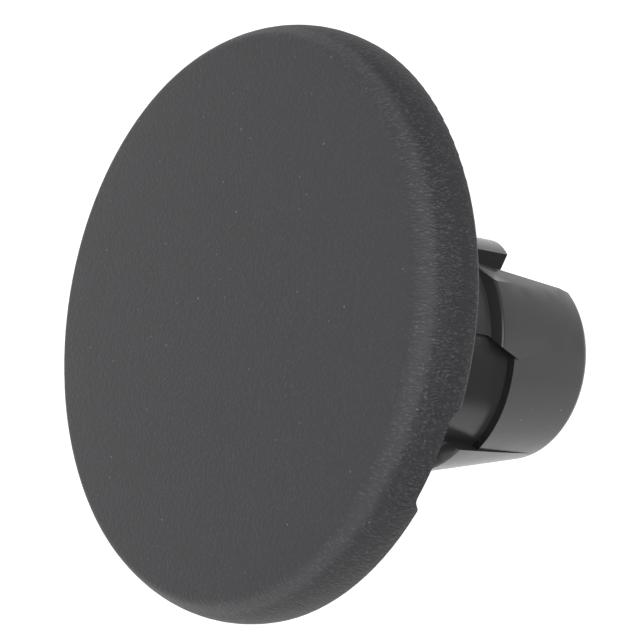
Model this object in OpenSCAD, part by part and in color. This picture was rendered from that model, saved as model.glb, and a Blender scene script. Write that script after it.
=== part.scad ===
// Round hole plug, moulded in one piece: a grained cap with a pry notch in its rear edge,
// a half sleeve that guides it into the hole and a spring leg with a stepped snap ledge.
// The cap seats on the XZ plane, and the stem runs along +Y with the spring leg on the +X side.

/* [Cap] */
// Largest diameter of the cap
cap_d = 50; // [44:1:60]
// Depth of the cap from its seat to the middle of its face
cap_h = 6.6; // [6:0.1:7.2]
// Rise of the face to its middle, measured across the whole cap
cap_crown = 1.1; // [0.7:0.1:1.6]
// Rounding between the face and the side
face_edge_r = 1.1; // [0.6:0.1:1.6]
// Radius of the bulging side
side_r = 5.9; // [5:0.1:7.5]
// Distance from the seat to the widest part of the side
side_mid = 1.7; // [1:0.1:2.4]
// Rounding of the rear rim
rim_r = 0.6; // [0.2:0.05:0.8]
// Thickness of the cap's wall
cap_wall = 1.9; // [1.5:0.1:2.4]
// Rounding inside the cap, where its rim meets its face
cap_inside_r = 1; // [0.5:0.1:1.5]

/* [Pry notch] */
// Length of the notch along the rim, at its floor
notch_len = 7.3; // [5:0.1:12]
// Depth of the notch in the rim
notch_depth = 1.15; // [0.5:0.05:2]
// Lean of the notch's ends, as extra length at the rim on each side
notch_lean = 1.1; // [0:0.1:2]
// Turn of the notch from the middle of the spring leg, towards +Z
notch_turn = 2.5; // [-10:0.5:10]

/* [Half sleeve] */
// Outer diameter of the half sleeve
sleeve_d = 20.8; // [20:0.1:21.4]
// Thickness of the sleeve's wall
sleeve_wall = 1.5; // [1.2:0.1:1.8]
// Length of the sleeve on the side next to the spring leg
sleeve_len = 19.5; // [16:0.1:22]
// Slant of the sleeve's end, which lies further out away from the leg
sleeve_slant = 21; // [0:1:24]
// Distance from the axis to the sleeve's side edges, towards the leg
sleeve_edge_x = 1; // [0:0.1:1.4]
// Length of the closed ring at the root of the stem
root_len = 2.2; // [1:0.1:4]
// Size of the fillet between the stem and the back of the cap
root_fillet = 0.8; // [0.3:0.1:1.2]

/* [Spring leg] */
// Length of the leg from the seat to its tip
leg_len = 27.9; // [26:0.1:32]
// Diameter across the snap ledge
ridge_d = 21.8; // [21.6:0.1:22.4]
// Diameter of the leg's neck, between the cap and the ledge
neck_d = 19.8; // [19.4:0.1:20]
// Diameter to which the leg tapers at its tip, before the rounding
tip_d = 16.7; // [16.2:0.1:17.2]
// Rounding of the tip's outer edge
tip_r = 1; // [0.4:0.1:1.2]
// Inner diameter of the leg along its neck
leg_bore_d = 16.8; // [16:0.1:17]
// Inner diameter of the leg at its tip
tip_bore_d = 14; // [12.4:0.1:14.4]
// Distance from the seat to the outer ledges
ledge_at = 15.5; // [13:0.1:17]
// How much further the middle ledge is from the seat
ledge_step = 2.3; // [1:0.1:3]
// Length of the ramp that leads back over each ledge
ledge_ramp = 0.7; // [0.6:0.05:1.6]
// Rounding of the ledge's crest
ridge_r = 0.34; // [0.28:0.02:0.5]
// Distance from the axis to the leg's side edges
leg_edge_x = 1.9; // [1.8:0.1:3]
// Half width of the leg where it passes its ledge
leg_half_w = 9.45; // [8.8:0.05:9.8]
// Narrowing of each side of the leg towards the tip, in degrees
leg_draft = 5.0; // [2:0.1:7]

/* [Middle panel of the leg] */
// Distance from the axis to the panel's +Z side at the middle ledge
panel_top_w = 4.3; // [3:0.1:5.2]
// Distance from the axis to the panel's -Z side at the middle ledge
panel_low_w = 4.7; // [3:0.1:5.2]
// Diameter of the neck within the panel
panel_neck_d = 18.8; // [18.4:0.1:19.4]
// Depth of the panel's outer face at the middle ledge
panel_depth = 0.22; // [0.08:0.02:0.3]
// Spread of the panel's +Z side towards the tip, in degrees
panel_top_spread = 9.5; // [4:0.5:14]
// Spread of the panel's -Z side over its whole length, in degrees
panel_low_spread = 4.5; // [2:0.5:8]
// Lean of the step between the ledges on the panel's +Z side, in degrees
panel_lean = 20; // [6:1:30]
// Slant of the middle ledge, which lies further out on the -Z side, in degrees
ledge_slant = 6; // [0:1:8]

/* [Hidden] */
// Smoothness of full turns, and of the face's large sphere
$fn = 96;
dome_fn = 1440;
// Length by which cutting shapes stand proud of what they cut
past = 1;
// Most by which a rounded edge overlaps the section that it joins
lap = 0.3;
// Radius of the flat at the middle of the face
face_flat_r = 0.2;

cap_r = cap_d / 2;
sleeve_r = sleeve_d / 2;
ridge_out = ridge_d / 2;
neck_r = neck_d / 2;
tip_out = tip_d / 2;
leg_bore_r = leg_bore_d / 2;
tip_bore_r = tip_bore_d / 2;
panel_neck_r = panel_neck_d / 2;

// The cap's section lies in a plane of radius and depth, with the face at negative depth
dome_r = (cap_r * cap_r + cap_crown * cap_crown) / (2 * cap_crown);
dome_mid = [0, dome_r - cap_h];
side_centre = [cap_r - side_r, -side_mid];
edge_centre = circles_meet(dome_mid, dome_r - face_edge_r, side_centre, side_r - face_edge_r);
rim_centre = [
    side_centre[0] + sqrt(pow(side_r - rim_r, 2) - pow(side_mid - rim_r, 2)),
    -rim_r
];
cap_inside = cap_r - cap_wall;
back_at = -cap_h + cap_wall + cap_crown * pow(cap_inside / cap_r, 2);

// The leg's face tapers in a straight line from its ledge to its tip
leg_slope = (ridge_out - tip_out) / (leg_len - ledge_at);
leg_taper = atan(leg_slope);
mid_ledge_at = ledge_at + ledge_step;
mid_ridge_out = leg_face(mid_ledge_at) - panel_depth;
// Distance from the seat at which the panel's face runs out into the leg's face
panel_end = leg_len - tip_r;
panel_slope = (mid_ridge_out - leg_face(panel_end)) / (panel_end - mid_ledge_at);

// Radius of the leg's face at a distance from the seat
function leg_face(at) = ridge_out - (at - ledge_at) * leg_slope;

// Angle of a vector in the section's plane
function heading(v) = atan2(v[1], v[0]);

// Meeting point of two circles, on the side away from the axis
function circles_meet(a, ra, b, rb) =
    let (
        gap = norm(b - a),
        along = (ra * ra - rb * rb + gap * gap) / (2 * gap),
        off = sqrt(ra * ra - along * along),
        dir = (b - a) / gap
    )
    a + along * dir + off * [-dir[1], dir[0]] * (dir[1] < 0 ? 1 : -1);

// Point on a circle at a heading
function on_circle(centre, radius, at) = centre + radius * [cos(at), sin(at)];

// Outer part of a disc between two headings, which rounds the edge of a section
module bulge(centre, radius, from, to, fn = $fn) {
    start = on_circle(centre, radius, from);
    end = on_circle(centre, radius, to);
    out = [cos((from + to) / 2), sin((from + to) / 2)];
    inner = (start + end) / 2 - min(lap, radius / 4) * out;
    intersection() {
        translate(centre) circle(radius, $fn = fn);
        polygon([start, inner, end, end + radius * out, start + radius * out]);
    }
}

// Turns a shape built around Z so that its axis lies along +Y
module along_y() {
    rotate([-90, 0, 0]) children();
}

// Extrudes an outline of width and height along +X, with its height along Z
module across_x(from, to) {
    translate([from, 0, 0]) rotate([90, 0, 90]) linear_extrude(to - from) children();
}

// Turns a section about Z, with the seam of the turn on the side away from the leg
module turned() {
    rotate([0, 0, 180]) rotate_extrude() children();
}

// Half section of the cap: domed face, rounded edge, bulging side, rounded rim and hollow back
module cap_section() {
    face_to_edge = heading(edge_centre - dome_mid);
    edge_to_side = heading(edge_centre - side_centre);
    side_to_rim = heading(rim_centre - side_centre);
    inside_centre = [cap_inside - cap_inside_r, back_at + cap_inside_r];
    flat_to_face = asin(face_flat_r / dome_r) - 90;
    flat_edge = on_circle(dome_mid, dome_r, flat_to_face);
    difference() {
        union() {
            polygon([
                [0, flat_edge[1]],
                flat_edge,
                on_circle(dome_mid, dome_r, face_to_edge),
                on_circle(side_centre, side_r, edge_to_side),
                on_circle(side_centre, side_r, side_to_rim),
                [rim_centre[0], 0],
                [cap_inside, 0],
                [cap_inside, inside_centre[1]],
                inside_centre,
                [inside_centre[0], back_at],
                [0, -cap_h + cap_wall]
            ]);
            bulge(dome_mid, dome_r, flat_to_face, face_to_edge, dome_fn);
            bulge(edge_centre, face_edge_r, face_to_edge, edge_to_side);
            bulge(side_centre, side_r, edge_to_side, side_to_rim);
            bulge(rim_centre, rim_r, side_to_rim, 90);
        }
        translate(inside_centre) circle(cap_inside_r);
    }
}

module pry_notch() {
    half = notch_len / 2;
    rotate([0, 0, -notch_turn])
        across_x(cap_inside - past, cap_r + past)
            polygon([
                [-half, -notch_depth],
                [half, -notch_depth],
                [half + notch_lean, 0],
                [half + notch_lean, past],
                [-half - notch_lean, past],
                [-half - notch_lean, 0]
            ]);
}

module cap() {
    difference() {
        rotate_extrude() cap_section();
        pry_notch();
    }
}

// Closed ring that joins the sleeve and the leg to the cap, with a fillet at its foot
module root_ring() {
    rotate_extrude()
        polygon([
            [leg_bore_r, -cap_h + cap_wall / 2],
            [sleeve_r, -cap_h + cap_wall / 2],
            [sleeve_r + root_fillet, back_at - cap_crown],
            [sleeve_r + root_fillet, back_at],
            [sleeve_r, back_at + root_fillet],
            [sleeve_r, root_len],
            [leg_bore_r, root_len]
        ]);
}

// Half sleeve opposite the leg, with a slanted end
module half_sleeve() {
    longest = sleeve_len + 2 * sleeve_r * tan(sleeve_slant);
    difference() {
        translate([0, 0, root_len / 2]) cylinder(r = sleeve_r, h = longest);
        translate([0, 0, -past]) cylinder(r = sleeve_r - sleeve_wall, h = longest + 2 * past + root_len);
        across_x(sleeve_edge_x, sleeve_r + past) square([4 * sleeve_r, 4 * longest], center = true);
        translate([sleeve_edge_x, 0, sleeve_len])
            rotate([0, sleeve_slant, 0])
                translate([0, 0, longest / 2])
                    cube([6 * sleeve_r, 4 * sleeve_r, longest], center = true);
    }
}

// Section of the leg: neck, ramp, rounded crest, long taper and rounded tip
module leg_section() {
    normal = [cos(leg_taper), sin(leg_taper)];
    crest = [ridge_out, ledge_at] - ridge_r * normal;
    tip_from = leg_len - tip_r + tip_r * normal[1];
    tip = [leg_face(tip_from) - tip_r * normal[0], leg_len - tip_r];
    ramp_lean = atan2(ledge_ramp, ridge_out - neck_r);
    polygon([
        [leg_bore_r, root_len / 2],
        [neck_r, root_len / 2],
        [neck_r, ledge_at - ledge_ramp],
        on_circle(crest, ridge_r, ramp_lean - 90),
        on_circle(crest, ridge_r, leg_taper),
        on_circle(tip, tip_r, leg_taper),
        [tip[0], leg_len],
        [tip_bore_r, leg_len],
        [leg_bore_r, ledge_at]
    ]);
    bulge(crest, ridge_r, ramp_lean - 90, leg_taper);
    bulge(tip, tip_r, leg_taper, 90);
}

// Outline of the leg seen along the X axis: straight sides that draw in towards the tip
module leg_outline() {
    root_w = leg_half_w + ledge_at * tan(leg_draft);
    tip_w = leg_half_w - (leg_len + past - ledge_at) * tan(leg_draft);
    polygon([[-root_w, 0], [root_w, 0], [tip_w, leg_len + past], [-tip_w, leg_len + past]]);
}

// Body of the panel under its cut: a deeper neck, and a face that runs out at the tip
module panel_core() {
    far = leg_len + past;
    translate([0, 0, -past]) cylinder(r = panel_neck_r, h = mid_ledge_at + 2 * past);
    intersection() {
        turned()
            polygon([
                [0, root_len],
                [mid_ridge_out + (mid_ledge_at - root_len) * panel_slope, root_len],
                [mid_ridge_out - (far - mid_ledge_at) * panel_slope, far],
                [0, far]
            ]);
        translate([0, 0, mid_ledge_at])
            rotate([ledge_slant, 0, 0])
                translate([0, 0, leg_len]) cube(2 * leg_len, center = true);
    }
}

// Outline of the panel seen along the X axis, with its +Z side towards the left
module panel_outline() {
    far = leg_len + past;
    step_from = ledge_at - 1.5 * ledge_ramp;
    top_step_w = panel_top_w + (mid_ledge_at - step_from) * tan(panel_lean);
    top_far_w = panel_top_w + (far - mid_ledge_at) * tan(panel_top_spread);
    low_root_w = panel_low_w - (mid_ledge_at - root_len) * tan(panel_low_spread);
    low_far_w = panel_low_w + (far - mid_ledge_at) * tan(panel_low_spread);
    polygon([
        [-top_step_w, root_len],
        [low_root_w, root_len],
        [low_far_w, far],
        [-top_far_w, far],
        [-panel_top_w, mid_ledge_at],
        [-top_step_w, step_from]
    ]);
}

// Spring leg with its stepped ledge
module spring_leg() {
    difference() {
        intersection() {
            turned() leg_section();
            across_x(leg_edge_x, ridge_out + past) leg_outline();
        }
        difference() {
            across_x(leg_edge_x, ridge_out + past) panel_outline();
            panel_core();
        }
    }
}

module hole_plug() {
    color("#3f3f42")
        along_y()
            union() {
                cap();
                root_ring();
                half_sleeve();
                spring_leg();
            }
}

hole_plug();
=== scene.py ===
"""Looks, lights and camera for a moulded hole plug: a grained cap on a smooth snap-in stem."""

import logging
import math
from dataclasses import dataclass, field
from enum import Enum

import bmesh
import bpy
from mathutils import Matrix, Vector


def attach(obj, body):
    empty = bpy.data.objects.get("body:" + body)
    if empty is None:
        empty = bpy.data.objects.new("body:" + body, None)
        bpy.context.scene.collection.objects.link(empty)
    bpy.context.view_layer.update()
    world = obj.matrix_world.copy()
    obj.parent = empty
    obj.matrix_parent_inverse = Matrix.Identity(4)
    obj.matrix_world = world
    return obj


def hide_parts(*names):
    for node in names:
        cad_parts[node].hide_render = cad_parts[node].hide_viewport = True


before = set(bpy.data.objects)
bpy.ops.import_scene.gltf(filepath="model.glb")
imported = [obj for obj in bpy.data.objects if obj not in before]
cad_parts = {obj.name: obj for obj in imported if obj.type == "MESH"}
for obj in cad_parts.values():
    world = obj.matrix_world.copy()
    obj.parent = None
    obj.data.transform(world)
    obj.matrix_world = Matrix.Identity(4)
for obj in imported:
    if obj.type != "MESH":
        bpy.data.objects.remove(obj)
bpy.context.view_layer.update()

logging.basicConfig(level=logging.INFO, format="%(name)s: %(message)s")
log = logging.getLogger("hole_plug_scene")

MM = 0.001


class WhiteRoomRay(Enum):
    """Rays that see the room as white: the camera's own, mirrored ones and those through glass."""

    CAMERA = "Is Camera Ray"
    GLOSSY = "Is Glossy Ray"
    TRANSMISSION = "Is Transmission Ray"


def linear(hex_colour: str) -> tuple[float, float, float, float]:
    """Turns an sRGB hex colour into Blender's linear RGBA.

    Args:
        hex_colour: Six hex digits after a hash sign, such as "#3b3b3d".

    Returns:
        Linear red, green, blue and an alpha of 1.
    """
    parts = [int(hex_colour[i : i + 2], 16) / 255 for i in (1, 3, 5)]
    r, g, b = (p / 12.92 if p <= 0.04045 else ((p + 0.055) / 1.055) ** 2.4 for p in parts)
    return (r, g, b, 1.0)


def direction(azimuth_deg: float, elevation_deg: float) -> Vector:
    """Gives the unit vector from the object towards a direction round it.

    Args:
        azimuth_deg: 0 is in front of the cap's face, and 90 on the spring leg's side.
        elevation_deg: Angle above the horizon.

    Returns:
        The unit vector.
    """
    a, e = math.radians(azimuth_deg), math.radians(elevation_deg)
    return Vector((math.sin(a) * math.cos(e), -math.cos(a) * math.cos(e), math.sin(e)))


def add_node(
    tree: bpy.types.NodeTree,
    kind: str,
    settings: dict[str, object] | None = None,
    inputs: dict[str | int, object] | None = None,
) -> bpy.types.Node:
    """Adds one node, with its settings, its constants and its links.

    Args:
        tree: The node tree that the node joins.
        kind: The node's type name.
        settings: Properties of the node itself.
        inputs: Socket name or number to a constant, or to an output socket to link from.

    Returns:
        The new node.
    """
    node = tree.nodes.new(kind)
    for name, value in (settings or {}).items():
        setattr(node, name, value)
    for key, value in (inputs or {}).items():
        if isinstance(value, bpy.types.NodeSocket):
            tree.links.new(value, node.inputs[key])
        else:
            node.inputs[key].default_value = value
    return node


@dataclass(frozen=True)
class SurfacePoint:
    """Where the point being shaded lies on the object, in millimetres, as sockets of a node tree.

    Attributes:
        tree: The node tree.
        place: The place on the object.
        flat: The same place with its depth left out.
        radius: Distance from the stem's axis.
        depth: Distance behind the seat, negative towards the face.
    """

    tree: bpy.types.NodeTree
    place: bpy.types.NodeSocket
    flat: bpy.types.NodeSocket
    radius: bpy.types.NodeSocket
    depth: bpy.types.NodeSocket

    @classmethod
    def of(cls, tree: bpy.types.NodeTree) -> "SurfacePoint":
        """Adds the nodes that find the point.

        Args:
            tree: The material's node tree.

        Returns:
            The point.
        """
        metres = add_node(tree, "ShaderNodeTexCoord").outputs["Object"]
        place = add_node(
            tree, "ShaderNodeVectorMath", {"operation": "SCALE"}, {0: metres, "Scale": 1 / MM}
        ).outputs["Vector"]
        parts = add_node(tree, "ShaderNodeSeparateXYZ", inputs={"Vector": place}).outputs
        flat = add_node(
            tree, "ShaderNodeCombineXYZ", inputs={"X": parts["X"], "Z": parts["Z"]}
        ).outputs["Vector"]
        radius = add_node(
            tree, "ShaderNodeVectorMath", {"operation": "LENGTH"}, {0: flat}
        ).outputs["Value"]
        return cls(tree, place, flat, radius, parts["Y"])


@dataclass(frozen=True)
class LeatherCells:
    """Irregular pebbles of one size, pushed about by a soft noise so that no row or grid shows.

    Attributes:
        cell_mm: Width of a pebble.
        push_mm: How far the noise pushes them.
        push_every_mm: Distance over which the push changes.
        push_detail: Finer steps in the noise.
    """

    cell_mm: float
    push_mm: float
    push_every_mm: float
    push_detail: float

    def pattern(
        self, tree: bpy.types.NodeTree, place: bpy.types.NodeSocket
    ) -> bpy.types.NodeSocket:
        """Adds the nodes of the pattern.

        Args:
            tree: The material's node tree.
            place: The place that the pattern follows, in millimetres.

        Returns:
            The pattern, 0 at the top of each pebble.
        """
        push = add_node(
            tree,
            "ShaderNodeTexNoise",
            inputs={"Vector": place, "Scale": 1 / self.push_every_mm, "Detail": self.push_detail},
        ).outputs["Color"]
        pushed = add_node(
            tree,
            "ShaderNodeVectorMath",
            {"operation": "MULTIPLY_ADD"},
            {0: push, 1: (self.push_mm,) * 3, 2: place},
        ).outputs["Vector"]
        return add_node(
            tree,
            "ShaderNodeTexVoronoi",
            {"feature": "F1"},
            {"Vector": pushed, "Scale": 1 / self.cell_mm},
        ).outputs["Distance"]


@dataclass(frozen=True)
class CapOutline:
    """Where the cap's outer surface lies, measured from the seat and the stem's axis.

    Attributes:
        edge_radius_mm: Radius at which the face turns into the rounded edge.
        side_from_mm: Radius inside the side wall, which parts its outside from its inside.
        face_from_mm: Depth inside the face's wall, which parts its front from its hollow back.
    """

    edge_radius_mm: float = 24.0
    side_from_mm: float = 23.3
    face_from_mm: float = -4.8


@dataclass(frozen=True)
class MouldedPolypropylene:
    """Mass-coloured dark grey polypropylene, straight from the mould and unpainted.

    The outside of the cap comes off an etched mould wall, which leaves a fine leather grain and a
    matt surface. On the rounded edge and the side the grain is drawn out into short wrinkles that
    run across the edge. The tops of the grain are painted a little paler, partly as handling wear
    and partly as a painted highlight, and a painted highlight runs in a band along the edge. The
    back of the cap and the stem come off a smooth steel wall, so they are plain and half glossy,
    with only a faint unevenness from shrinkage. Grain, wrinkles and specks are close to the finest
    that show in a view of the whole plug, so they are drawn about as coarse as they have to be.
    The specks are partly dust and partly painted glints.

    Attributes:
        cap_colour: Grey of the cap.
        cap_colour_low: Grey of the faint clouds in it.
        stem_colour: Grey of the smooth surfaces.
        wear_and_highlight_colour: Pale grey of the grain's tops, partly handling wear and partly
            painted highlight, and of the painted highlight along the edge.
        speck_colour: Grey of the specks, partly dust and partly painted glints.
        ior: Refractive index of the plastic.
        cap_roughness: How matt the outside of the cap is.
        stem_roughness: How matt the smooth surfaces are.
        wear_and_highlight_face: Share of that grey on the grain's tops on the face.
        wear_and_highlight_side: The same share on the edge and the side.
        painted_edge_highlight: Its share in the painted highlight band along the edge.
        wear_and_highlight_tops: Values of the grain's pattern where the paler tops begin and where
            they are full.
        painted_highlight_band_mm: Where the painted highlight band begins, is full, fades and
            ends, counted from the edge.
        cloud_mm: Width of the clouds.
        cloud_detail: Finer steps in the clouds.
        grain: The face's grain.
        grain_depth_mm: Depth of the grain.
        wrinkles: The side's grain, as it is across a wrinkle.
        wrinkle_stretch: How many times longer than wide a wrinkle is.
        wrinkle_depth_mm: Depth of the wrinkles.
        edge_blend_mm: Width of the ring in which the grain turns into wrinkles.
        shrink_mm: Width of the hollows that shrinkage leaves.
        shrink_detail: Finer steps in those hollows.
        shrink_depth_mm: Depth of the hollows.
        speck_spacing_mm: Distance between the places where a speck may lie.
        speck_radius_mm: Radius of a speck.
        speck_rarity: The higher it is, the fewer of those places hold a speck that shows.
    """

    cap_colour: str = "#2c2c30"
    cap_colour_low: str = "#28282b"
    stem_colour: str = "#3a3939"
    wear_and_highlight_colour: str = "#6a6a6d"
    speck_colour: str = "#a4a4a1"
    ior: float = 1.5
    cap_roughness: float = 0.56
    stem_roughness: float = 0.26
    wear_and_highlight_face: float = 0.12
    wear_and_highlight_side: float = 0.46
    painted_edge_highlight: float = 0.22
    wear_and_highlight_tops: tuple[float, float] = (0.45, 0.05)
    painted_highlight_band_mm: tuple[float, float, float, float] = (-0.9, 0.1, 0.2, 0.6)
    cloud_mm: float = 20 / 7
    cloud_detail: float = 5.0
    grain: LeatherCells = LeatherCells(
        cell_mm=0.34, push_mm=0.5, push_every_mm=0.625, push_detail=1.0
    )
    grain_depth_mm: float = 0.045
    wrinkles: LeatherCells = LeatherCells(
        cell_mm=0.2, push_mm=0.7, push_every_mm=2 / 3, push_detail=2.0
    )
    wrinkle_stretch: float = 2.3
    wrinkle_depth_mm: float = 0.09
    edge_blend_mm: float = 2.2
    shrink_mm: float = 3.2
    shrink_detail: float = 2.0
    shrink_depth_mm: float = 0.004
    speck_spacing_mm: float = 0.8
    speck_radius_mm: float = 0.1
    speck_rarity: float = 9.0

    def material(self, cap: CapOutline) -> bpy.types.Material:
        """Builds the material, with the grain only on the outside of the cap.

        Args:
            cap: Where the cap's outer surface lies.

        Returns:
            The finished material.
        """
        mat = bpy.data.materials.new("moulded_polypropylene")
        mat.use_nodes = True
        tree = mat.node_tree
        tree.nodes.clear()
        at = SurfacePoint.of(tree)
        outside = self._outside_of_cap(at, cap)
        at_edge = add_node(
            tree,
            "ShaderNodeMapRange",
            {"interpolation_type": "SMOOTHSTEP"},
            {
                "Value": at.radius,
                "From Min": cap.edge_radius_mm - self.edge_blend_mm,
                "From Max": cap.edge_radius_mm,
            },
        ).outputs["Result"]
        pattern = add_node(
            tree,
            "ShaderNodeMix",
            {"data_type": "FLOAT"},
            {
                "Factor": at_edge,
                "A": self.grain.pattern(tree, at.place),
                "B": self.wrinkles.pattern(tree, self._drawn_out(at, cap)),
            },
        ).outputs["Result"]
        normal = add_node(
            tree,
            "ShaderNodeBump",
            inputs={
                "Strength": 1.0,
                "Distance": MM,
                "Height": self._height(at, at_edge, pattern, outside),
            },
        ).outputs["Normal"]
        gloss = add_node(
            tree,
            "ShaderNodeMapRange",
            inputs={
                "Value": outside,
                "To Min": self.stem_roughness,
                "To Max": self.cap_roughness,
            },
        ).outputs["Result"]
        # Pale grain tops, partly wear and partly painted highlight, and a painted highlight band
        # along the edge.
        wear_and_highlight = self._wear_and_highlight_share(at, cap, at_edge, pattern, outside)
        shader = add_node(
            tree,
            "ShaderNodeBsdfPrincipled",
            inputs={
                "Base Color": self._colour(at, outside, wear_and_highlight),
                "Roughness": gloss,
                "IOR": self.ior,
                "Normal": normal,
            },
        ).outputs["BSDF"]
        add_node(tree, "ShaderNodeOutputMaterial", inputs={"Surface": shader})
        return mat

    def _outside_of_cap(self, at: SurfacePoint, cap: CapOutline) -> bpy.types.NodeSocket:
        """Marks the cap's face, edge and side with 1, and its hollow back and the stem with 0.

        Args:
            at: The point being shaded.
            cap: Where the cap's outer surface lies.

        Returns:
            The mark.
        """
        in_face = add_node(
            at.tree,
            "ShaderNodeMath",
            {"operation": "LESS_THAN"},
            {0: at.depth, 1: cap.face_from_mm},
        ).outputs["Value"]
        in_side = add_node(
            at.tree,
            "ShaderNodeMath",
            {"operation": "GREATER_THAN"},
            {0: at.radius, 1: cap.side_from_mm},
        ).outputs["Value"]
        return add_node(
            at.tree, "ShaderNodeMath", {"operation": "MAXIMUM"}, {0: in_face, 1: in_side}
        ).outputs["Value"]

    def _drawn_out(self, at: SurfacePoint, cap: CapOutline) -> bpy.types.NodeSocket:
        """Squeezes the place across the edge, so that a pattern on it comes out drawn that way.

        Args:
            at: The point being shaded.
            cap: Where the cap's outer surface lies.

        Returns:
            The squeezed place, in millimetres.
        """
        around = add_node(
            at.tree, "ShaderNodeVectorMath", {"operation": "NORMALIZE"}, {0: at.flat}
        ).outputs["Vector"]
        edge = cap.edge_radius_mm
        # As many millimetres as a wrinkle is drawn out become one.
        squeezed = add_node(
            at.tree,
            "ShaderNodeMapRange",
            {"clamp": False},
            {
                "Value": at.radius,
                "From Min": edge,
                "From Max": edge + self.wrinkle_stretch,
                "To Min": edge,
                "To Max": edge + 1.0,
            },
        ).outputs["Result"]
        ring = add_node(
            at.tree, "ShaderNodeVectorMath", {"operation": "SCALE"}, {0: around, "Scale": squeezed}
        ).outputs["Vector"]
        along = add_node(
            at.tree,
            "ShaderNodeMath",
            {"operation": "DIVIDE"},
            {0: at.depth, 1: self.wrinkle_stretch},
        ).outputs["Value"]
        lift = add_node(at.tree, "ShaderNodeCombineXYZ", inputs={"Y": along}).outputs["Vector"]
        return add_node(
            at.tree, "ShaderNodeVectorMath", {"operation": "ADD"}, {0: ring, 1: lift}
        ).outputs["Vector"]

    def _height(
        self,
        at: SurfacePoint,
        at_edge: bpy.types.NodeSocket,
        pattern: bpy.types.NodeSocket,
        outside: bpy.types.NodeSocket,
    ) -> bpy.types.NodeSocket:
        """Adds up the surface's relief: grain on the outside of the cap, and shrinkage everywhere.

        Args:
            at: The point being shaded.
            at_edge: 0 on the face, rising to 1 at the edge and on the side.
            pattern: The grain's pattern, 0 at the top of each pebble or fold.
            outside: 1 on the outside of the cap, and 0 elsewhere.

        Returns:
            The height, in millimetres.
        """
        depth = add_node(
            at.tree,
            "ShaderNodeMapRange",
            inputs={
                "Value": at_edge,
                "To Min": -self.grain_depth_mm,
                "To Max": -self.wrinkle_depth_mm,
            },
        ).outputs["Result"]
        depth = add_node(
            at.tree, "ShaderNodeMath", {"operation": "MULTIPLY"}, {0: depth, 1: outside}
        ).outputs["Value"]
        relief = add_node(
            at.tree, "ShaderNodeMath", {"operation": "MULTIPLY"}, {0: pattern, 1: depth}
        ).outputs["Value"]
        shrink = add_node(
            at.tree,
            "ShaderNodeTexNoise",
            inputs={"Vector": at.place, "Scale": 1 / self.shrink_mm, "Detail": self.shrink_detail},
        ).outputs["Fac"]
        return add_node(
            at.tree,
            "ShaderNodeMath",
            {"operation": "MULTIPLY_ADD"},
            {0: shrink, 1: self.shrink_depth_mm, 2: relief},
        ).outputs["Value"]

    def _wear_and_highlight_share(
        self,
        at: SurfacePoint,
        cap: CapOutline,
        at_edge: bpy.types.NodeSocket,
        pattern: bpy.types.NodeSocket,
        outside: bpy.types.NodeSocket,
    ) -> bpy.types.NodeSocket:
        """Finds the pale grain tops, partly handling wear and partly painted highlight, and the
        painted edge highlight.

        Args:
            at: The point being shaded.
            cap: Where the cap's outer surface lies.
            at_edge: 0 on the face, rising to 1 at the edge and on the side.
            pattern: The grain's pattern, 0 at the top of each pebble or fold.
            outside: 1 on the outside of the cap, and 0 elsewhere.

        Returns:
            How much of the pale colour shows, from 0 to 1.
        """
        # Pale grain tops: partly handling wear, partly painted highlight.
        begins, full = self.wear_and_highlight_tops
        tops = add_node(
            at.tree,
            "ShaderNodeMapRange",
            {"interpolation_type": "SMOOTHSTEP"},
            {"Value": pattern, "From Min": begins, "From Max": full},
        ).outputs["Result"]
        share = add_node(
            at.tree,
            "ShaderNodeMapRange",
            inputs={"Value": at_edge, "To Min": self.wear_and_highlight_face, "To Max": self.wear_and_highlight_side},
        ).outputs["Result"]
        tops = add_node(
            at.tree, "ShaderNodeMath", {"operation": "MULTIPLY"}, {0: tops, 1: share}
        ).outputs["Value"]
        # A painted highlight band along the cap's rounded edge.
        begins, full, fades, ends = (cap.edge_radius_mm + way for way in self.painted_highlight_band_mm)
        inner = add_node(
            at.tree,
            "ShaderNodeMapRange",
            {"interpolation_type": "SMOOTHSTEP"},
            {"Value": at.radius, "From Min": begins, "From Max": full},
        ).outputs["Result"]
        outer = add_node(
            at.tree,
            "ShaderNodeMapRange",
            {"interpolation_type": "SMOOTHSTEP"},
            {
                "Value": at.radius,
                "From Min": fades,
                "From Max": ends,
                "To Min": self.painted_edge_highlight,
                "To Max": 0.0,
            },
        ).outputs["Result"]
        band = add_node(
            at.tree, "ShaderNodeMath", {"operation": "MULTIPLY"}, {0: inner, 1: outer}
        ).outputs["Value"]
        both = add_node(
            at.tree, "ShaderNodeMath", {"operation": "ADD", "use_clamp": True}, {0: tops, 1: band}
        ).outputs["Value"]
        return add_node(
            at.tree, "ShaderNodeMath", {"operation": "MULTIPLY"}, {0: both, 1: outside}
        ).outputs["Value"]

    def _specks(self, at: SurfacePoint) -> bpy.types.NodeSocket:
        """Scatters a few small pale specks, partly dust and partly painted glints.

        Args:
            at: The point being shaded.

        Returns:
            How much of the specks' colour shows, from 0 to 1.
        """
        # Pale specks: partly dust, partly painted glints.
        places = add_node(
            at.tree,
            "ShaderNodeTexVoronoi",
            {"feature": "F1"},
            {"Vector": at.place, "Scale": 1 / self.speck_spacing_mm},
        ).outputs
        near = add_node(
            at.tree,
            "ShaderNodeMapRange",
            inputs={
                "Value": places["Distance"],
                "From Min": 0.0,
                "From Max": self.speck_radius_mm / self.speck_spacing_mm,
                "To Min": 1.0,
                "To Max": 0.0,
            },
        ).outputs["Result"]
        luck = add_node(
            at.tree, "ShaderNodeSeparateColor", inputs={"Color": places["Color"]}
        ).outputs["Red"]
        few = add_node(
            at.tree, "ShaderNodeMath", {"operation": "POWER"}, {0: luck, 1: self.speck_rarity}
        ).outputs["Value"]
        return add_node(
            at.tree, "ShaderNodeMath", {"operation": "MULTIPLY"}, {0: near, 1: few}
        ).outputs["Value"]

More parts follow.
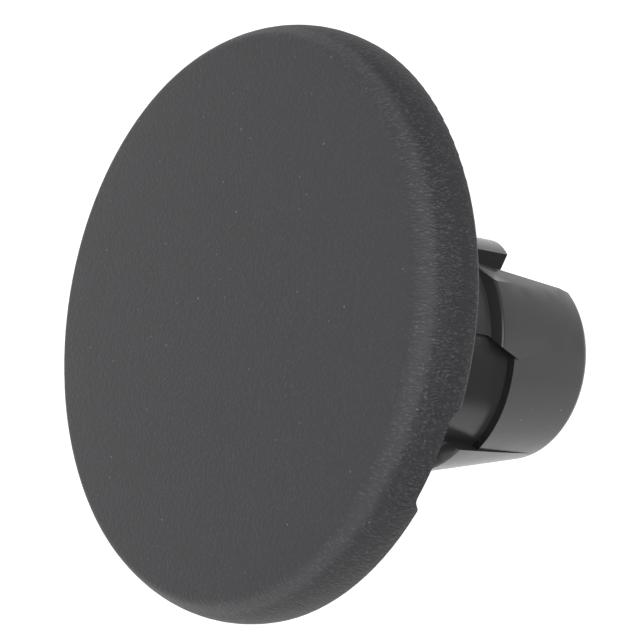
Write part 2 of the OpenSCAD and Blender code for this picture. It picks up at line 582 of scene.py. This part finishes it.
    def _colour(
        self, at: SurfacePoint, outside: bpy.types.NodeSocket, wear_and_highlight: bpy.types.NodeSocket
    ) -> bpy.types.NodeSocket:
        """Mixes the cap's cloudy grey, the stem's grey, the pale wear and painted highlight, and
        the specks.

        Args:
            at: The point being shaded.
            outside: 1 on the outside of the cap, and 0 elsewhere.
            wear_and_highlight: How much of the pale colour shows, for wear and painted highlight.

        Returns:
            The base colour.
        """
        cloud = add_node(
            at.tree,
            "ShaderNodeTexNoise",
            inputs={"Vector": at.place, "Scale": 1 / self.cloud_mm, "Detail": self.cloud_detail},
        ).outputs["Fac"]
        cap = add_node(
            at.tree,
            "ShaderNodeMix",
            {"data_type": "RGBA"},
            {"Factor": cloud, "A": linear(self.cap_colour_low), "B": linear(self.cap_colour)},
        ).outputs["Result"]
        colour = add_node(
            at.tree,
            "ShaderNodeMix",
            {"data_type": "RGBA"},
            {"Factor": outside, "A": linear(self.stem_colour), "B": cap},
        ).outputs["Result"]
        # The pale wear and painted highlight, then the specks, partly dust and partly painted
        # glints.
        for share, over in ((wear_and_highlight, self.wear_and_highlight_colour), (self._specks(at), self.speck_colour)):
            colour = add_node(
                at.tree,
                "ShaderNodeMix",
                {"data_type": "RGBA"},
                {"Factor": share, "A": colour, "B": linear(over)},
            ).outputs["Result"]
        return colour


@dataclass(frozen=True)
class PryNotch:
    """The shallow notch in the cap's rear rim, where a flat blade goes in to lift the plug out.

    Attributes:
        length_mm: Length of the notch's floor, along the rim.
        depth_mm: Depth below the seat.
        end_lean_mm: How far each end leans out on its way up to the seat.
        corner_mm: Radius where the ends meet the floor.
        corner_steps: Steps that round each of those corners.
        turn_deg: Turn about the stem's axis, from the leg's middle.
        rim_mid_mm: Distance of the rim from the stem's axis.
        reach_mm: Length of the cutter across the rim, past both of its sides.
        proud_mm: How far the cutter stands above the seat.
    """

    length_mm: float = 7.3
    depth_mm: float = 1.15
    end_lean_mm: float = 1.1
    corner_mm: float = 0.35
    corner_steps: int = 4
    turn_deg: float = 2.5
    rim_mid_mm: float = 24.0
    reach_mm: float = 3.0
    proud_mm: float = 1.0

    def cutter(self) -> bpy.types.Object:
        """Builds the shape that the notch leaves open.

        Returns:
            A prism that lies across the rim, wider at the seat than at its floor.
        """
        bpy.ops.object.select_all(action="DESELECT")
        # A cube of one millimetre, so that its scale is its size in millimetres.
        bpy.ops.mesh.primitive_cube_add(
            size=MM,
            location=(self.rim_mid_mm * MM, -self.depth_mm / 2 * MM, 0),
        )
        cutter = bpy.context.active_object
        cutter.name = "notch_cutter"
        cutter.scale = (self.reach_mm, self.depth_mm, self.length_mm)
        bpy.ops.object.transform_apply(location=True, rotation=False, scale=True)
        widen = (self.length_mm + 2 * self.end_lean_mm) / self.length_mm
        bpy.ops.object.mode_set(mode="EDIT")
        self._select_seat_face(cutter)
        bpy.ops.transform.resize(value=(1, 1, widen), center_override=(0, 0, 0))
        bpy.ops.mesh.extrude_region_move(
            TRANSFORM_OT_translate={"value": (0, self.proud_mm * MM, 0)}
        )
        self._select_floor_edges(cutter)
        bpy.ops.mesh.bevel(
            offset=self.corner_mm * MM, segments=self.corner_steps, affect="EDGES"
        )
        bpy.ops.object.mode_set(mode="OBJECT")
        cutter.rotation_euler = (0, -math.radians(self.turn_deg), 0)
        bpy.ops.object.transform_apply(location=False, rotation=True, scale=False)
        return cutter

    def _select_seat_face(self, cutter: bpy.types.Object) -> None:
        """Selects the cutter's face in the seat's plane, which is its highest along the stem.

        Args:
            cutter: The cutter, in edit mode.
        """
        bpy.ops.mesh.select_mode(type="FACE")
        mesh = bmesh.from_edit_mesh(cutter.data)
        seat_face = max(mesh.faces, key=lambda face: face.calc_center_median().y)
        for face in mesh.faces:
            face.select_set(face == seat_face)
        bmesh.update_edit_mesh(cutter.data)

    def _select_floor_edges(self, cutter: bpy.types.Object) -> None:
        """Selects the two edges across the rim where the notch's ends meet its floor.

        Args:
            cutter: The cutter, in edit mode.
        """
        bpy.ops.mesh.select_mode(type="EDGE")
        mesh = bmesh.from_edit_mesh(cutter.data)
        half_depth = self.depth_mm / 2 * MM
        half_reach = self.reach_mm / 2 * MM
        for edge in mesh.edges:
            start, end = (vert.co for vert in edge.verts)
            on_floor = max(start.y, end.y) < -half_depth
            across_rim = abs(start.x - end.x) > half_reach
            edge.select_set(on_floor and across_rim)
        bmesh.update_edit_mesh(cutter.data)


@dataclass
class HolePlug:
    """The plug: one moulding, with the CAD node's own shape and the notch in its rim.

    Attributes:
        node: The CAD node that it stands for.
        smooth_deg: Angle between faces up to which a surface is shaded as smooth.
        merge_mm: Distance within which the CAD mesh's corners are the same point.
        finish: What it is made of.
        cap: Where the cap's outer surface lies.
        notch: The notch in the cap's rim.
    """

    node: str = "hole_plug"
    smooth_deg: float = 30.0
    merge_mm: float = 0.0005
    finish: MouldedPolypropylene = field(default_factory=MouldedPolypropylene)
    cap: CapOutline = field(default_factory=CapOutline)
    notch: PryNotch = field(default_factory=PryNotch)

    def build(self) -> bpy.types.Object:
        """Makes the moulding from a copy of the CAD node, cuts its notch and dresses it.

        Returns:
            The finished piece, which stands for the CAD node.
        """
        cutter = self.notch.cutter()
        plug = self._merged_copy()
        cut = plug.modifiers.new("pry_notch", "BOOLEAN")
        cut.operation = "DIFFERENCE"
        cut.solver = "EXACT"
        cut.object = cutter
        bpy.ops.object.modifier_apply(modifier=cut.name)
        bpy.data.objects.remove(cutter)
        bpy.ops.object.shade_smooth_by_angle(angle=math.radians(self.smooth_deg))
        plug.data.materials.clear()
        plug.data.materials.append(self.finish.material(self.cap))
        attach(plug, "root")
        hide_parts(self.node)
        return plug

    def _merged_copy(self) -> bpy.types.Object:
        """Copies the CAD node and joins its loose triangles into one closed mesh.

        Returns:
            The copy, selected and active.
        """
        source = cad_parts[self.node]
        plug = bpy.data.objects.new("plug_moulding", source.data.copy())
        bpy.context.scene.collection.objects.link(plug)
        bpy.ops.object.select_all(action="DESELECT")
        plug.select_set(True)
        bpy.context.view_layer.objects.active = plug
        bpy.ops.mesh.customdata_custom_splitnormals_clear()
        bpy.ops.object.mode_set(mode="EDIT")
        bpy.ops.mesh.select_all(action="SELECT")
        bpy.ops.mesh.remove_doubles(threshold=self.merge_mm * MM)
        bpy.ops.mesh.select_all(action="DESELECT")
        bpy.ops.object.mode_set(mode="OBJECT")
        return plug


@dataclass(frozen=True)
class SoftLamp:
    """One soft lamp, far off in one direction from the object.

    Attributes:
        name: The lamp's name.
        azimuth_deg: Its direction, as direction() counts it.
        elevation_deg: Its height above the horizon.
        level: Its light, where 1 shows a white sheet that faces it as plain white.
        spread_deg: How wide it looks from the object, which softens its shadows.
    """

    name: str
    azimuth_deg: float
    elevation_deg: float
    level: float
    spread_deg: float

    def place(self) -> bpy.types.Object:
        """Adds the lamp.

        Returns:
            The lamp's object.
        """
        data = bpy.data.lights.new(self.name, "SUN")
        data.energy = math.pi * self.level
        data.angle = math.radians(self.spread_deg)
        lamp = bpy.data.objects.new(self.name, data)
        bpy.context.scene.collection.objects.link(lamp)
        towards = direction(self.azimuth_deg, self.elevation_deg)
        lamp.rotation_mode = "QUATERNION"
        lamp.rotation_quaternion = towards.to_track_quat("Z", "Y")
        return lamp


@dataclass(frozen=True)
class SideCard:
    """A plain card beside the object, unseen by the camera, which gives the gloss its tone.

    Attributes:
        name: The card's name.
        colour: The paper's colour.
        azimuth_deg: Its direction, as direction() counts it.
        elevation_deg: Its height above the horizon.
        distance_m: How far it stands from the object.
        size_m: Length of its sides.
        roughness: How matt the paper is.
    """

    name: str
    colour: str
    azimuth_deg: float
    elevation_deg: float
    distance_m: float
    size_m: float
    roughness: float = 0.9

    def place(self) -> bpy.types.Object:
        """Adds the card, facing the object.

        Returns:
            The card's object.
        """
        towards = direction(self.azimuth_deg, self.elevation_deg)
        bpy.ops.mesh.primitive_plane_add(size=self.size_m, location=towards * self.distance_m)
        card = bpy.context.active_object
        card.name = self.name
        card.rotation_mode = "QUATERNION"
        card.rotation_quaternion = towards.to_track_quat("Z", "Y")
        card.visible_camera = False
        card.visible_shadow = False
        mat = bpy.data.materials.new(self.name + "_paper")
        mat.use_nodes = True
        paper = mat.node_tree.nodes["Principled BSDF"].inputs
        paper["Base Color"].default_value = linear(self.colour)
        paper["Roughness"].default_value = self.roughness
        card.data.materials.append(mat)
        return card


@dataclass
class Studio:
    """A white room: pale floor, white walls, a greyer ceiling, soft lamps and one dark card.

    Attributes:
        floor_at_m: Height of the floor, well below the object.
        floor_size_m: Length of the floor's sides.
        floor_colour: The floor's colour.
        floor_glow: What it glows in view, beside the light it reflects, so that it looks white.
        room_level: The room's light on the object, and the grey of its ceiling in view.
        wall_top: Up to where the walls look white, as the sine of the angle above the horizon.
        ceiling_from: From where the ceiling looks grey, counted the same way.
        lamps: The soft lamps.
        cards: The cards.
    """

    floor_at_m: float = -0.12
    floor_size_m: float = 8.0
    floor_colour: str = "#f0f0ef"
    floor_glow: float = 0.5
    room_level: float = 0.45
    wall_top: float = 0.2
    ceiling_from: float = 0.5
    lamps: tuple[SoftLamp, ...] = (
        SoftLamp("front_softbox", azimuth_deg=0, elevation_deg=16, level=0.31, spread_deg=50),
        SoftLamp("camera_side_lamp", azimuth_deg=80, elevation_deg=36, level=0.40, spread_deg=40),
        SoftLamp("back_softbox", azimuth_deg=-170, elevation_deg=30, level=0.03, spread_deg=60),
    )
    cards: tuple[SideCard, ...] = (
        SideCard(
            "right_side_flag",
            colour="#161617",
            azimuth_deg=118,
            elevation_deg=-4,
            distance_m=0.3,
            size_m=0.32,
        ),
    )

    def build(self) -> None:
        """Adds the floor, the room's light, the lamps and the card."""
        bpy.ops.object.select_all(action="DESELECT")
        self._floor()
        self._room()
        for lamp in self.lamps:
            lamp.place()
            log.info("lamp %s", lamp.name)
        for card in self.cards:
            card.place()
            log.info("card %s", card.name)

    def _floor(self) -> None:
        """Adds the pale floor, which glows a little in view and keeps the object's shadow."""
        bpy.ops.mesh.primitive_plane_add(size=self.floor_size_m, location=(0, 0, self.floor_at_m))
        floor = bpy.context.active_object
        floor.name = "floor"
        mat = bpy.data.materials.new("pale_floor")
        mat.use_nodes = True
        tree = mat.node_tree
        tree.nodes.clear()
        glow = add_node(
            tree,
            "ShaderNodeMath",
            {"operation": "MULTIPLY"},
            {0: self._seen_as_white(tree), 1: self.floor_glow},
        ).outputs["Value"]
        light = add_node(
            tree, "ShaderNodeEmission", inputs={"Strength": glow}
        ).outputs["Emission"]
        paint = add_node(
            tree, "ShaderNodeBsdfDiffuse", inputs={"Color": linear(self.floor_colour)}
        ).outputs["BSDF"]
        both = add_node(tree, "ShaderNodeAddShader", inputs={0: light, 1: paint}).outputs["Shader"]
        add_node(tree, "ShaderNodeOutputMaterial", inputs={"Surface": both})
        floor.data.materials.append(mat)

    def _room(self) -> None:
        """Makes the surroundings: an even light, whose walls look white and whose ceiling grey."""
        world = bpy.data.worlds.new("plain_room")
        bpy.context.scene.world = world
        world.use_nodes = True
        tree = world.node_tree
        tree.nodes.clear()
        way = add_node(tree, "ShaderNodeTexCoord").outputs["Generated"]
        height = add_node(tree, "ShaderNodeSeparateXYZ", inputs={"Vector": way}).outputs["Z"]
        in_view = add_node(
            tree,
            "ShaderNodeMapRange",
            {"interpolation_type": "SMOOTHSTEP"},
            {
                "Value": height,
                "From Min": self.wall_top,
                "From Max": self.ceiling_from,
                "To Min": 1.0,
                "To Max": self.room_level,
            },
        ).outputs["Result"]
        strength = add_node(
            tree,
            "ShaderNodeMapRange",
            inputs={
                "Value": self._seen_as_white(tree),
                "To Min": self.room_level,
                "To Max": in_view,
            },
        ).outputs["Result"]
        light = add_node(
            tree,
            "ShaderNodeBackground",
            inputs={"Color": linear("#ffffff"), "Strength": strength},
        ).outputs["Background"]
        add_node(tree, "ShaderNodeOutputWorld", inputs={"Surface": light})

    def _seen_as_white(self, tree: bpy.types.NodeTree) -> bpy.types.NodeSocket:
        """Gives 1 for each WhiteRoomRay, and 0 for a ray that brings the object diffuse light.

        Args:
            tree: The node tree that asks.

        Returns:
            The answer.
        """
        path = add_node(tree, "ShaderNodeLightPath").outputs
        seen, *others = (path[ray.value] for ray in WhiteRoomRay)
        for other in others:
            seen = add_node(
                tree, "ShaderNodeMath", {"operation": "MAXIMUM"}, {0: seen, 1: other}
            ).outputs["Value"]
        return seen


@dataclass(frozen=True)
class PlugCamera:
    """The camera: close to level, turned towards the spring leg and rolled a little.

    Attributes:
        place_mm: Where it stands.
        azimuth_deg: The way from the object that it looks back along, as direction() counts it.
        elevation_deg: Height of that way above the horizon.
        roll_deg: Its roll about that way.
        lens_mm: Focal length.
        sensor_mm: Width of the sensor.
        nearest_m: Nearest distance that it sees.
    """

    place_mm: tuple[float, float, float] = (182.90, -153.67, 74.96)
    azimuth_deg: float = 49.271
    elevation_deg: float = 17.024
    roll_deg: float = 23.68
    lens_mm: float = 168.75
    sensor_mm: float = 36.0
    nearest_m: float = 0.01

    def place(self) -> bpy.types.Object:
        """Adds the camera and makes it the scene's own.

        Returns:
            The camera's object.
        """
        data = bpy.data.cameras.new("camera")
        data.lens = self.lens_mm
        data.sensor_width = self.sensor_mm
        data.clip_start = self.nearest_m
        camera = bpy.data.objects.new("camera", data)
        bpy.context.scene.collection.objects.link(camera)
        turn = direction(self.azimuth_deg, self.elevation_deg).to_track_quat("Z", "Y")
        roll = Matrix.Rotation(math.radians(self.roll_deg), 4, "Z")
        camera.matrix_world = (
            Matrix.Translation(Vector(self.place_mm) * MM) @ turn.to_matrix().to_4x4() @ roll
        )
        bpy.context.scene.camera = camera
        return camera


def main() -> None:
    """Builds the scene."""
    bpy.context.scene.view_settings.view_transform = "Standard"
    camera = PlugCamera().place()
    log.info("%s in place", camera.name)
    plug = HolePlug().build()
    log.info("piece %s, %d faces", plug.name, len(plug.data.polygons))
    Studio().build()


if __name__ == "__main__":
    main()
